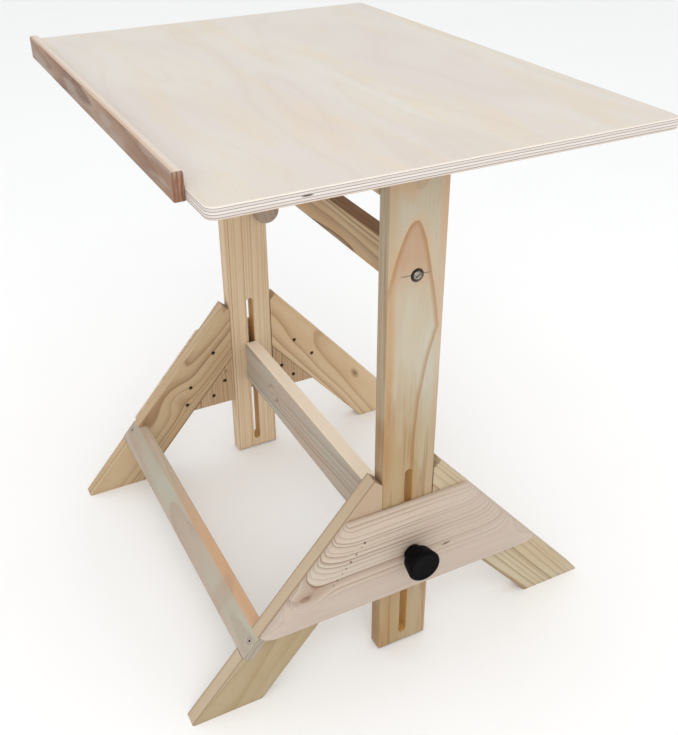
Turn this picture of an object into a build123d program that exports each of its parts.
from build123d import *
import os
from math import atan2, cos, degrees, hypot, radians, sin

# Drafting table: a plywood board on two slotted posts that slide in a pair of
# pine trestles.  X runs along the width of the board, +Y to the back, +Z up.
# The origin is on the floor, midway between the trestles and under the posts.
# All sizes in millimetres.

LEFT, RIGHT = -1, 1              # direction along X
FRONT, REAR = -1, 1              # direction along Y
SIDES = (RIGHT, LEFT)

# ------------------------------------------------------------ driving sizes
board_w, board_d, board_t = 800.0, 600.0, 15.0
board_top = 831.0
board_y = 2.0                    # middle of the board behind the posts
board_corner_r = 12.0
board_edge_r = 2.0

ledge_len, ledge_t, ledge_h = 676.0, 13.0, 33.0
ledge_top_r, ledge_bottom_r, ledge_end_r = 3.0, 2.0, 1.5
dowel_r, dowel_play, dowel_end_play = 3.0, 0.02, 0.5
dowel_pitch = 140.0
dowel_hole_board, dowel_hole_ledge = 16.0, 9.0   # hole depths

stock_w, stock_t = 84.0, 26.0    # planed pine used for legs, posts and rails
outer_x = 305.0                  # outer face of legs and posts
inner_x = outer_x - stock_t      # inner face of the legs
slide_gap = 0.3                  # play of a post against its neighbours

post_foot = 3.0                  # underside of a post above the floor
pivot_z = 772.0                  # tilt axis at the top of the posts
slot_w, slot_lo, slot_hi = 13.0, 20.3, 346.0

toe_y, apex_y, apex_z = 352.0, 54.1, 342.0
cut_y = stock_w / 2 + 0.4        # upright cut of the legs beside the post

gusset_t, gusset_lo, gusset_hi = 17.0, 129.5, 288.0
bevel_w, bevel_d = 38.0, 12.5    # round-over of the gusset's visible edges
gusset_chamfer = 3.0
cut_margin = 3.0                 # overshoot of the round-over cutter

clamp_z = 205.5                  # axis of the two height clamps
mid_rail_z, mid_rail_h = 208.5, 84.0           # rail between the trestles, on edge
top_rail_z, top_rail_h = 650.0, 52.0

foot_rail_t, foot_rail_z = 15.0, 113.0
foot_rail_down, foot_rail_up = 21.0, 17.5      # outer face, along the legs from that height
foot_rail_edge_r = 1.5
notch_play = 0.15
notch_over = 5.0                 # overshoot of the notch outside the leg
rail_screw_up = 3.0              # rail screws, up the legs from that height

run = 0.05                       # radial clearance of a fastener in its hole
gap = 0.1                        # axial gap between neighbouring pieces
seat = 0.05                      # finer axial gap under washers and a bolt head
bolt_r = 4.0
bolt_hole_r = bolt_r + run
bolt_recess_r, bolt_recess = 9.6, 3.5          # recess round the upper rail bolt
plug_r, plug_t, plug_sink = 9.0, 5.0, 8.0      # wooden plugs over the sunk pivot bolts
socket_r, socket_cut = 2.3, 4.0  # driver socket; half the cut lies in the head
nut_r, nut_t = 7.4, 7.0          # across-corners radius and thickness
washer_t = 1.6
barrel_r, barrel_len, barrel_hole_depth = 6.0, 13.8, 33.0
barrel_inset = 40.0              # barrel nuts from the ends of the upper rail
insert_r, insert_len, insert_hole_depth = 6.0, 21.0, 22.0
fit = 0.02                       # radial play of plugs, barrel nuts and inserts

knob_r, knob_back_r, knob_t = 26.0, 22.0, 26.0
hub_r, hub_len = 14.0, 10.5
clamp_washer_r = 12.5

screw_r = 2.0
screw_hole_r = screw_r + run
screw_sink = 3.0                 # gusset screw heads below the legs' inner face
screw_tip = outer_x + 12.0
screw_head_r, screw_head_h = 4.0, 2.7
cross_w, cross_cut = 0.9, 2.6    # cross slot; half the cut lies in the head

stay_t, stay_w, stay_slot = 14.7, 46.0, 15.5
stay_a = (-41.7, 790.0)          # stay pivot on the cleat (Y, Z)
stay_low = (39.0, 519.0)         # centre of the rounded lower end
stay_slot_from, stay_slot_to = 88.0, 240.0     # distances from the pivot along the stay

cleat_t, cleat_len = 26.0, 380.0
cleat_h, cleat_end_h, boss_h = 40.0, 26.0, 66.0    # depths below the board
boss_half, boss_foot_half = 62.0, 36.0         # half lengths at its root and underside
cleat_screw_ys = [-155.0, -90.0, 90.0, 155.0]
cleat_screw_len, cleat_screw_seat = 34.0, 24.0     # length, head seat below the board
pan_head_r, pan_head_h = 3.9, 2.6
ease = 2.5                       # eased edges of the planed timber

# ------------------------------------------------------------ derived sizes
board_bottom = board_top - board_t
front_y = board_y - board_d / 2
dowel_z = board_bottom + board_t / 2
dowel_xs = [dowel_pitch * i for i in range(-2, 3)]

post_t = stock_t - 2 * slide_gap
post_in = inner_x + slide_gap
post_out = outer_x - slide_gap

# the left cleat leaves room for the stay
cleat_x = {LEFT: -(inner_x - stay_t - 0.6 - cleat_t / 2), RIGHT: inner_x - cleat_t / 2}
cleat_in = {side: x - side * cleat_t / 2 for side, x in cleat_x.items()}   # inner faces
top_rail_left = -(inner_x - stay_t - 0.3)

leg_run = toe_y - apex_y
leg_len = hypot(leg_run, apex_z)
up_y, up_z = leg_run / leg_len, apex_z / leg_len   # unit vector up a front leg
in_y, in_z = up_z, -up_y         # inward normal of the front legs' outer edge
lean = leg_run / apex_z
foot_w = stock_w / up_z
leg_mid_x = inner_x + stock_t / 2
block_top = (toe_y - foot_w - cut_y) / lean        # inner slanted edge meets the cut

# ------------------------------------------------------------ helpers
# Functions that build a whole piece return its builder.
FROM_BASE = (Align.CENTER, Align.CENTER, Align.MIN)
TO_BASE = (Align.CENTER, Align.CENTER, Align.MAX)


def leg_outline(z):
    """Distance of the leg's outer slanted edge from the post's centre plane."""
    return toe_y - lean * z


def on_leg(up, depth):
    """(Y, Z) up the front legs' outer edge from the foot rail's height, and depth inward."""
    return (-leg_outline(foot_rail_z) + up_y * up + in_y * depth,
            foot_rail_z + up_z * up + in_z * depth)


def facing_x(x, y, z, sign=1):
    """Place with local Z along +X, or -X for sign -1."""
    return Location((x, y, z), (0, 90 * sign, 0))


def facing_y(x, y, z, sign=1):
    """Place with local Z along +Y, or -Y for sign -1."""
    return Location((x, y, z), (-90 * sign, 0, 0))


def rail_screw_plane(x, depth):
    """Place of a foot rail screw, local Z pointing into the leg."""
    return Plane(origin=(x, *on_leg(rail_screw_up, depth)), x_dir=(1, 0, 0), z_dir=(0, in_y, in_z))


def pin(radius, length):
    Cylinder(radius, length, align=FROM_BASE)


def bore(radius, depth):
    Cylinder(radius, depth, align=FROM_BASE, mode=Mode.SUBTRACT)


def through_bore(radius, length):
    """Hole that runs both ways from its place."""
    Cylinder(radius, length, mode=Mode.SUBTRACT)


def countersink(wide_r, narrow_r, depth):
    Cone(wide_r, narrow_r, depth, align=FROM_BASE, mode=Mode.SUBTRACT)


def cross_slot(length, width, depth):
    Box(length, width, depth, mode=Mode.SUBTRACT)
    Box(width, length, depth, mode=Mode.SUBTRACT)


def flat_head_screw(length, head_r, slot_len):
    pin(screw_r, length)
    Cone(head_r, screw_r, screw_head_h, align=FROM_BASE)
    cross_slot(slot_len, cross_w, cross_cut)


def socket_bolt(shank_r, length, head_r, neck_r, head_h):
    pin(shank_r, length)
    Cone(head_r, neck_r, head_h, align=FROM_BASE)
    through_bore(socket_r, socket_cut)


def washer(radius, thickness, hole_r):
    pin(radius, thickness)
    through_bore(hole_r, 6.0)


def sunk_screw_hole():
    through_bore(screw_hole_r, 80)
    bore(screw_head_r, screw_sink)
    with Locations((0, 0, screw_sink)):
        countersink(screw_head_r, screw_hole_r, 2.8)


def nut_plane(x, y, z, sign):
    return Plane(origin=(x, y, z), x_dir=(0, 1, 0), z_dir=(sign, 0, 0))


def hex_nuts(planes):
    with BuildPart() as nuts:
        for plane in planes:
            with BuildSketch(plane):
                RegularPolygon(nut_r, 6)
                Circle(bolt_r, mode=Mode.SUBTRACT)
            extrude(amount=nut_t)
    return nuts


def mirrored(original):
    """Left-hand twin of a right-hand piece."""
    with BuildPart() as twin:
        add(mirror(original.part, about=Plane.YZ))
    return twin


# ------------------------------------------------------------------- board
cleat_screw_pts = [(x, y) for x in cleat_x.values() for y in cleat_screw_ys]

with BuildPart() as drawing_board:
    with BuildSketch(Plane.XY.offset(board_bottom)):
        with Locations((0, board_y)):
            RectangleRounded(board_w, board_d, board_corner_r)
    extrude(amount=board_t)
    fillet(drawing_board.edges().group_by(Axis.Z)[-1], board_edge_r)
    fillet(drawing_board.edges().group_by(Axis.Z)[0], board_edge_r)
    # dowel holes for the ledge
    with Locations(*[facing_y(x, front_y, dowel_z) for x in dowel_xs]):
        bore(dowel_r, dowel_hole_board)
    # pilot holes for the cleat screws
    with Locations(*[Location((x, y, board_bottom)) for x, y in cleat_screw_pts]):
        bore(screw_hole_r, cleat_screw_len - cleat_screw_seat + 0.5)

with BuildPart() as pencil_ledge:
    with BuildSketch(Plane.YZ.offset(-ledge_len / 2)):
        with Locations((front_y - ledge_t / 2, board_bottom + ledge_h / 2)):
            Rectangle(ledge_t, ledge_h)
    extrude(amount=ledge_len)
    # both upper edges, then the lower front edge
    fillet(pencil_ledge.edges().filter_by(Axis.X).sort_by(Axis.Z)[2:], ledge_top_r)
    lower_edges = pencil_ledge.edges().filter_by(Axis.X).sort_by(Axis.Z)[:2]
    fillet(lower_edges.sort_by(Axis.Y)[:1], ledge_bottom_r)
    # front edge of each end
    for end in (0, -1):
        end_face = pencil_ledge.faces().sort_by(Axis.X)[end]
        fillet(end_face.edges().sort_by(Axis.Y)[:1], ledge_end_r)
    with Locations(*[facing_y(x, front_y, dowel_z, -1) for x in dowel_xs]):
        bore(dowel_r, dowel_hole_ledge)

with BuildPart() as ledge_dowels:
    dowel_start = front_y - dowel_hole_ledge + dowel_end_play
    with Locations(*[facing_y(x, dowel_start, dowel_z) for x in dowel_xs]):
        pin(dowel_r - dowel_play, dowel_hole_board + dowel_hole_ledge - 2 * dowel_end_play)
    chamfer(ledge_dowels.edges().filter_by(GeomType.CIRCLE), 0.5)

# ----------------------------------------------- cleats under the board
cleat_corner = cleat_len / 2 - (cleat_h - cleat_end_h)
# (Y, Z) outline with a deeper boss in the middle for the pivots
cleat_profile = [
    (-cleat_len / 2, board_bottom),
    (cleat_len / 2, board_bottom),
    (cleat_len / 2, board_bottom - cleat_end_h),
    (cleat_corner, board_bottom - cleat_h),
    (boss_half, board_bottom - cleat_h),
    (boss_foot_half, board_bottom - boss_h),
    (-boss_foot_half, board_bottom - boss_h),
    (-boss_half, board_bottom - cleat_h),
    (-cleat_corner, board_bottom - cleat_h),
    (-cleat_len / 2, board_bottom - cleat_end_h),
]


def cleat(side):
    x = cleat_x[side]
    with BuildPart() as piece:
        with BuildSketch(Plane.YZ.offset(x - cleat_t / 2)):
            with BuildLine():
                Polyline(cleat_profile, close=True)
            make_face()
        extrude(amount=cleat_t)
        chamfer(piece.edges().filter_by(Plane.YZ).group_by(Axis.Z)[0], 1.5)
        with Locations(facing_x(x, 0, pivot_z)):
            through_bore(bolt_hole_r, 60)
        if side == LEFT:
            with Locations(facing_x(x, *stay_a)):
                through_bore(bolt_r, 60)
        with Locations(*[Location((x, y, board_bottom)) for y in cleat_screw_ys]):
            through_bore(screw_hole_r, 100)
            # wide access hole below the screw head's seat
            with Locations((0, 0, -cleat_screw_seat)):
                Cylinder(4.1, 40, align=TO_BASE, mode=Mode.SUBTRACT)
    return piece


with BuildPart() as cleat_screws:
    # pan-head wood screws driven up through the cleats into the board
    with Locations(*[Location((x, y, board_bottom - cleat_screw_seat))
                     for x, y in cleat_screw_pts]):
        pin(screw_r, cleat_screw_len)
        Cylinder(pan_head_r, pan_head_h, align=TO_BASE)
        with Locations((0, 0, -pan_head_h)):
            cross_slot(length=4.6, width=1.0, depth=2.4)


# ------------------------------------------------------------------- posts
def post(side, rail_hole_r):
    with BuildPart() as piece:
        with BuildSketch(Plane.YZ.offset(post_in if side == RIGHT else -post_out)):
            with Locations((0, (post_foot + pivot_z) / 2)):
                Rectangle(stock_w, pivot_z - post_foot)
            with Locations((0, pivot_z)):
                Circle(stock_w / 2)
            with Locations((0, (slot_lo + slot_hi) / 2)):
                SlotOverall(slot_hi - slot_lo, slot_w, rotation=90, mode=Mode.SUBTRACT)
        extrude(amount=post_t)
        # from the front edges the fillet runs on round the tangent top and down the back
        front_edges = piece.edges().filter_by(Axis.Z).filter_by_position(
            Axis.Y, -stock_w / 2 - 0.1, -stock_w / 2 + 0.1)
        fillet(front_edges, ease)
        with Locations(facing_x(side * outer_x, 0, top_rail_z)):
            through_bore(rail_hole_r, 80)
        with Locations(facing_x(side * outer_x, 0, pivot_z)):
            through_bore(bolt_r, 80)
        if side == RIGHT:
            with Locations(facing_x(post_out, 0, top_rail_z, -1)):
                bore(bolt_recess_r, bolt_recess)
        with Locations(facing_x(side * post_out, 0, pivot_z, -side)):
            bore(plug_r, plug_sink)
            with Locations((0, 0, plug_sink)):
                countersink(8.05, bolt_r, 4.0)
    return piece


# flat-head bolts that carry the cleats, with nuts on the inner side
with BuildPart() as tilt_pivot_bolts:
    head_x = post_out - plug_sink
    for side in SIDES:
        with Locations(facing_x(side * head_x, 0, pivot_z, -side)):
            socket_bolt(shank_r=bolt_r - 0.01, length=head_x - side * cleat_in[side] + 11.0,
                        head_r=8.0, neck_r=3.99, head_h=4.0)

with BuildPart() as pivot_plugs:
    # nearly flush wooden plugs over the sunk bolt heads
    with Locations(*[facing_x(side * (post_out - gap), 0, pivot_z, -side) for side in SIDES]):
        pin(plug_r - fit, plug_t)

with BuildPart() as tilt_pivot_washers:
    with Locations(*[facing_x(cleat_in[side] - side * gap, 0, pivot_z, -side)
                     for side in SIDES]):
        washer(radius=10.0, thickness=washer_t, hole_r=bolt_r + 0.2)

tilt_pivot_nuts = hex_nuts([
    nut_plane(cleat_in[side] - side * (washer_t + 2 * gap), 0, pivot_z, -side)
    for side in SIDES])

with BuildPart() as pivot_spacer:
    # fills the thickness of the stay between the left post and its cleat
    with Locations(facing_x(-post_in + gap, 0, pivot_z)):
        pin(10.0, post_in + cleat_x[LEFT] - cleat_t / 2 - 2 * gap)
        through_bore(bolt_r, 60.0)

# --------------------------------------------------------- upper rail
barrel_xs = (top_rail_left + barrel_inset, post_in - barrel_inset)

with BuildPart() as upper_rail:
    with BuildSketch(Plane.YZ.offset(top_rail_left)):
        with Locations((0, top_rail_z)):
            Rectangle(stock_t, top_rail_h)
    extrude(amount=post_in - top_rail_left)
    fillet(upper_rail.edges().filter_by(Axis.X), ease)
    for end_x, sign in ((top_rail_left, 1), (post_in, -1)):
        with Locations(facing_x(end_x, 0, top_rail_z, sign)):
            bore(bolt_hole_r, 60)
    # cross holes for the barrel nuts
    with Locations(*[(x, 0, top_rail_z - top_rail_h / 2) for x in barrel_xs]):
        bore(barrel_r, barrel_hole_depth)

with BuildPart() as barrel_nuts:
    with Locations(*[(x, 0, top_rail_z - barrel_len / 2) for x in barrel_xs]):
        pin(barrel_r - fit, barrel_len)
    with Locations(facing_x(0, 0, top_rail_z)):
        through_bore(bolt_hole_r, 700)

rail_washer_t = 1.4
rail_washer_x = post_out - bolt_recess + seat
rail_head_x = rail_washer_x + rail_washer_t + seat     # underside of the bolt head
rail_head_h = 4.4
with BuildPart() as rail_bolt:
    with Locations(facing_x(rail_head_x, 0, top_rail_z, -1)):
        pin(bolt_r - 0.02, post_t + 54.0)
        Cylinder(6.0, rail_head_h, align=TO_BASE)
    fillet(rail_bolt.edges().filter_by(GeomType.CIRCLE).sort_by(Axis.X)[-1], 2.4)
    # driver slot
    with BuildSketch(Plane.YZ.offset(rail_head_x + rail_head_h)):
        with Locations((0, top_rail_z)):
            Rectangle(8.0, 1.3, rotation=28)
    extrude(amount=-1.8, mode=Mode.SUBTRACT)

with BuildPart() as rail_washer:
    with Locations(facing_x(rail_washer_x, 0, top_rail_z)):
        washer(radius=8.6, thickness=rail_washer_t, hole_r=bolt_r + 0.25)
    chamfer(rail_washer.edges().filter_by(GeomType.CIRCLE).sort_by(SortBy.RADIUS)[-2:], 0.3)

# ---------------------------------------------------------------- stay
stay_dy, stay_dz = stay_a[0] - stay_low[0], stay_a[1] - stay_low[1]
stay_len = hypot(stay_dy, stay_dz)
stay_angle = degrees(atan2(stay_dz, stay_dy))
stay_mid = ((stay_a[0] + stay_low[0]) / 2, (stay_a[1] + stay_low[1]) / 2)
slot_share = (stay_slot_from + stay_slot_to) / 2 / stay_len    # slot centre down the stay
slot_mid = (stay_a[0] - stay_dy * slot_share, stay_a[1] - stay_dz * slot_share)

with BuildPart() as tilt_stay:
    with BuildSketch(Plane.YZ.offset(-inner_x)):
        with Locations(stay_mid):
            SlotCenterToCenter(stay_len, stay_w, rotation=stay_angle)
        with Locations(slot_mid):
            SlotOverall(stay_slot_to - stay_slot_from, stay_slot, rotation=stay_angle,
                        mode=Mode.SUBTRACT)
    extrude(amount=stay_t)
    fillet(tilt_stay.faces().sort_by(Axis.X)[-1].outer_wire().edges(), 2.0)
    with Locations(facing_x(-inner_x, *stay_a)):
        through_bore(bolt_hole_r, 60)
        countersink(7.6, bolt_r, 3.6)

with BuildPart() as stay_pivot_bolt:
    with Locations(facing_x(-inner_x + gap, *stay_a)):
        socket_bolt(shank_r=bolt_r - 0.02, length=inner_x + cleat_in[LEFT] + 10.0,
                    head_r=7.4, neck_r=3.9, head_h=3.5)

stay_pivot_nut = hex_nuts([nut_plane(cleat_in[LEFT] + 2 * gap, *stay_a, 1)])

# ---------------------------------------------------------------- legs
# (Y, Z) outline of a front leg
leg_profile = [
    (-toe_y, 0),
    (-toe_y + foot_w, 0),
    (-cut_y, block_top),
    (-cut_y, apex_z - (apex_y - cut_y) * lean),
    (-apex_y, apex_z),
]
# a plank let into the front legs, its upper edge planed level
rail_profile = [
    on_leg(-foot_rail_down, 0),
    on_leg(foot_rail_up, 0),
    on_leg(foot_rail_up + lean * foot_rail_t, foot_rail_t),
    on_leg(-foot_rail_down, foot_rail_t),
]
notch_profile = [
    on_leg(-foot_rail_down - notch_play, -notch_over),
    on_leg(foot_rail_up + notch_play - lean * notch_over, -notch_over),
    on_leg(foot_rail_up + notch_play + lean * foot_rail_t, foot_rail_t),
    on_leg(-foot_rail_down - notch_play, foot_rail_t),
]
# screws (Y, Z) through the legs and guide blocks into the gusset
leg_screws = {
    FRONT: [(-80.0, 247.0), (-131.0, 183.0), (-141.0, 146.0)],
    REAR: [(90.0, 230.0), (128.0, 189.0)],
}
front_block_screws = [(-61.0, 179.0), (-86.0, 151.0)]
block_screws = {
    FRONT: front_block_screws,
    REAR: [(-y, z) for y, z in front_block_screws],
}
all_screws = leg_screws[FRONT] + block_screws[FRONT] + leg_screws[REAR] + block_screws[REAR]


def right_leg(end):
    leg_up = Vector(0, -end * up_y, up_z)
    with BuildPart() as leg:
        with BuildSketch(Plane.YZ.offset(inner_x)):
            with BuildLine():
                Polyline([(-end * y, z) for y, z in leg_profile], close=True)
            make_face()
            if end == FRONT:
                with BuildLine():
                    Polyline(notch_profile, close=True)
                make_face(mode=Mode.SUBTRACT)
        extrude(amount=stock_t)
        # long edges that run up the leg
        long_edges = leg.edges().filter_by(
            lambda e: abs(abs(e.tangent_at(0.5).dot(leg_up)) - 1) < 1e-4 and e.length > 90)
        fillet(long_edges, ease)
        with Locations(*[facing_x(inner_x, y, z) for y, z in leg_screws[end]]):
            sunk_screw_hole()
        if end == FRONT:
            with Locations(rail_screw_plane(leg_mid_x, foot_rail_t)):
                bore(screw_hole_r, 28)
    return leg


# triangular blocks below the legs that finish the channel of the post
block_profile = [
    (-(toe_y - foot_w - lean * gusset_lo), gusset_lo),
    (-cut_y, gusset_lo),
    (-cut_y, block_top),
]


def right_guide_block(end):
    with BuildPart() as block:
        with BuildSketch(Plane.YZ.offset(inner_x)):
            with BuildLine():
                Polyline([(-end * y, z) for y, z in block_profile], close=True)
            make_face()
        extrude(amount=stock_t)
        with Locations(*[facing_x(inner_x, y, z) for y, z in block_screws[end]]):
            sunk_screw_hole()
    return block


# ------------------------------------------------------------- gussets
# quarter ellipse from the flat of the panel down to its thin lip
lip_t = gusset_t - bevel_d
bevel_curve = [(lip_t + bevel_d * cos(radians(a)), -bevel_w + bevel_w * sin(radians(a)))
               for a in range(0, 91, 15)]
with BuildPart() as gusset_right:
    with BuildSketch(Plane.YZ.offset(outer_x)):
        with BuildLine():
            Polyline([
                (-leg_outline(gusset_lo), gusset_lo),
                (leg_outline(gusset_lo), gusset_lo),
                (leg_outline(gusset_hi), gusset_hi),
                (-leg_outline(gusset_hi), gusset_hi),
            ], close=True)
        make_face()
    extrude(amount=gusset_t)
    # wide round-over along the top edge and both slanted edges
    for plane in (
        Plane(origin=(outer_x, 0, gusset_hi), x_dir=(1, 0, 0), z_dir=(0, -1, 0)),
        Plane(origin=(outer_x, -toe_y, 0), x_dir=(1, 0, 0), z_dir=(0, -up_y, -up_z)),
        Plane(origin=(outer_x, toe_y, 0), x_dir=(1, 0, 0), z_dir=(0, -up_y, up_z)),
    ):
        with BuildSketch(plane):
            with BuildLine():
                Spline(bevel_curve)
                Polyline(bevel_curve[-1], (lip_t, cut_margin),
                         (gusset_t + cut_margin, cut_margin),
                         (gusset_t + cut_margin, -bevel_w), bevel_curve[0])
            make_face()
        extrude(amount=600, both=True, mode=Mode.SUBTRACT)
    # small chamfer along the bottom edge; local Y points down
    with BuildSketch(Plane(origin=(outer_x, 0, gusset_lo), x_dir=(1, 0, 0), z_dir=(0, 1, 0))):
        with BuildLine():
            Polyline((gusset_t, -gusset_chamfer), (gusset_t + 2, -gusset_chamfer),
                     (gusset_t + 2, 2), (gusset_t - gusset_chamfer, 2),
                     (gusset_t - gusset_chamfer, 0), close=True)
        make_face()
    extrude(amount=600, both=True, mode=Mode.SUBTRACT)
    with Locations(facing_x(outer_x, 0, clamp_z)):
        through_bore(bolt_hole_r, 80)
    with Locations(*[facing_x(outer_x, y, z) for y, z in all_screws]):
        bore(screw_hole_r, screw_tip - outer_x + 0.5)

with BuildPart() as gusset_screws_right:
    screw_start = inner_x + screw_sink
    with Locations(*[facing_x(screw_start, y, z) for y, z in all_screws]):
        flat_head_screw(length=screw_tip - screw_start, head_r=3.9, slot_len=4.4)

# ----------------------------------------------- rail between trestles
with BuildPart() as middle_rail:
    with BuildSketch(Plane.YZ.offset(-inner_x)):
        with Locations((0, mid_rail_z)):
            Rectangle(stock_t, mid_rail_h)
    extrude(amount=2 * inner_x)
    fillet(middle_rail.edges().filter_by(Axis.X), ease)
    for side in SIDES:
        with Locations(facing_x(side * inner_x, 0, clamp_z, -side)):
            bore(insert_r, insert_hole_depth)
            bore(bolt_r + 0.5, 50.0)

with BuildPart() as threaded_inserts:
    # nearly flush steel inserts in the end grain that take the clamp bolts
    for side in SIDES:
        with Locations(facing_x(side * (inner_x - 0.2), 0, clamp_z, -side)):
            pin(insert_r - fit, insert_len)
            through_bore(bolt_hole_r, 60.0)


# ------------------------------------------------------------ clamps
def knob_profile():
    """Half section of a knob: axis along local X from the hub's foot."""
    head = hub_len + knob_t
    hub_end = (hub_len - 2.0, hub_r - 0.6)
    back = (hub_len, knob_back_r - 4.0)
    rim = (head - 4.0, knob_r)
    face = (head, knob_r - 5.0)
    with BuildLine() as outline:
        Polyline((0, bolt_r), (0, hub_r), hub_end)
        Spline(hub_end, (hub_len - 0.5, hub_r + 1.6), back)
        Polyline(back, (hub_len + 1.0, knob_back_r - 1.2), (hub_len + 3.0, knob_back_r), rim)
        Spline(rim, (head - 1.2, knob_r - 1.5), face)
        Polyline(face, (head - 0.8, 6.0), (head - 0.8, 0), (head - 3.5, 0),
                 (head - 3.5, bolt_r), (0, bolt_r))
    return outline.line


def knob(foot_x, z, side):
    """Knob with its hub's foot at the distance foot_x from the middle."""
    with BuildPart() as piece:
        with BuildSketch(Plane(origin=(side * foot_x, 0, z), x_dir=(side, 0, 0),
                               z_dir=(0, -side, 0))):
            add(knob_profile())
            make_face()
        revolve(axis=Axis((0, 0, z), (1, 0, 0)))
    return piece


def knob_bolt(foot_x, tip_x, z, side):
    """Bolt from inside a knob to its chamfered tip, at distances from the middle."""
    start_x = foot_x + hub_len + knob_t - 4.0
    with BuildPart() as bolt:
        with Locations(facing_x(side * start_x, 0, z, -side)):
            pin(bolt_r - 0.01, start_x - tip_x)
        end_circles = bolt.edges().filter_by(GeomType.CIRCLE).sort_by(Axis.X)
        chamfer(end_circles[0 if side == RIGHT else -1], 1.0)
    return bolt


with BuildPart() as clamp_washers:
    for side in SIDES:
        with Locations(facing_x(side * (outer_x + gusset_t + seat), 0, clamp_z, side)):
            washer(radius=clamp_washer_r, thickness=washer_t, hole_r=bolt_r + 0.25)

# tilt lock on the outside of the left post
with BuildPart() as tilt_washer:
    with Locations(facing_x(-post_out - seat, 0, top_rail_z, -1)):
        washer(radius=clamp_washer_r, thickness=washer_t, hole_r=bolt_r + 0.25)

clamp_foot = outer_x + gusset_t + washer_t + 0.15
tilt_foot = post_out + washer_t + 0.2

# ---------------------------------------------------------- foot rail
with BuildPart() as foot_rail:
    with BuildSketch(Plane.YZ.offset(-outer_x)):
        with BuildLine():
            Polyline(rail_profile, close=True)
        make_face()
    extrude(amount=2 * outer_x)
    fillet(foot_rail.edges().filter_by(Axis.X), foot_rail_edge_r)
    for side in SIDES:
        with Locations(rail_screw_plane(side * leg_mid_x, 0)):
            through_bore(screw_hole_r, 60)
            countersink(4.6, screw_hole_r, 3.2)

with BuildPart() as foot_rail_screws:
    for side in SIDES:
        with Locations(rail_screw_plane(side * leg_mid_x, 0.4)):
            flat_head_screw(length=40, head_r=screw_head_r, slot_len=4.6)

# -------------------------------------------------------------- export
pieces = {
    "drawing_board": drawing_board,
    "pencil_ledge": pencil_ledge,
    "ledge_dowels": ledge_dowels,
    "cleat_left": cleat(LEFT),
    "cleat_right": cleat(RIGHT),
    "cleat_screws": cleat_screws,
    "post_left": post(LEFT, rail_hole_r=bolt_hole_r),
    "post_right": post(RIGHT, rail_hole_r=bolt_r),
    "tilt_pivot_bolts": tilt_pivot_bolts,
    "pivot_plugs": pivot_plugs,
    "tilt_pivot_washers": tilt_pivot_washers,
    "tilt_pivot_nuts": tilt_pivot_nuts,
    "pivot_spacer": pivot_spacer,
    "upper_rail": upper_rail,
    "barrel_nuts": barrel_nuts,
    "rail_bolt": rail_bolt,
    "rail_washer": rail_washer,
    "tilt_stay": tilt_stay,
    "stay_pivot_bolt": stay_pivot_bolt,
    "stay_pivot_nut": stay_pivot_nut,
    "leg_front_right": right_leg(FRONT),
    "leg_rear_right": right_leg(REAR),
    "guide_block_front_right": right_guide_block(FRONT),
    "guide_block_rear_right": right_guide_block(REAR),
    "gusset_right": gusset_right,
    "gusset_screws_right": gusset_screws_right,
    "middle_rail": middle_rail,
    "threaded_inserts": threaded_inserts,
    "clamp_washers": clamp_washers,
    "clamp_knob_right": knob(clamp_foot, clamp_z, RIGHT),
    "clamp_bolt_right": knob_bolt(clamp_foot, inner_x - 42.0, clamp_z, RIGHT),
    "tilt_washer": tilt_washer,
    "tilt_knob": knob(tilt_foot, top_rail_z, LEFT),
    "tilt_bolt": knob_bolt(tilt_foot, -top_rail_left - 55.0, top_rail_z, LEFT),
    "foot_rail": foot_rail,
    "foot_rail_screws": foot_rail_screws,
}
# the left-hand trestle and clamp mirror the right-hand ones
for stem in ("leg_front", "leg_rear", "guide_block_front", "guide_block_rear",
             "gusset", "gusset_screws", "clamp_knob", "clamp_bolt"):
    pieces[f"{stem}_left"] = mirrored(pieces[f"{stem}_right"])

os.makedirs("parts", exist_ok=True)
for name, piece in pieces.items():
    piece.part.label = name
    export_step(piece.part, f"parts/{name}.step")
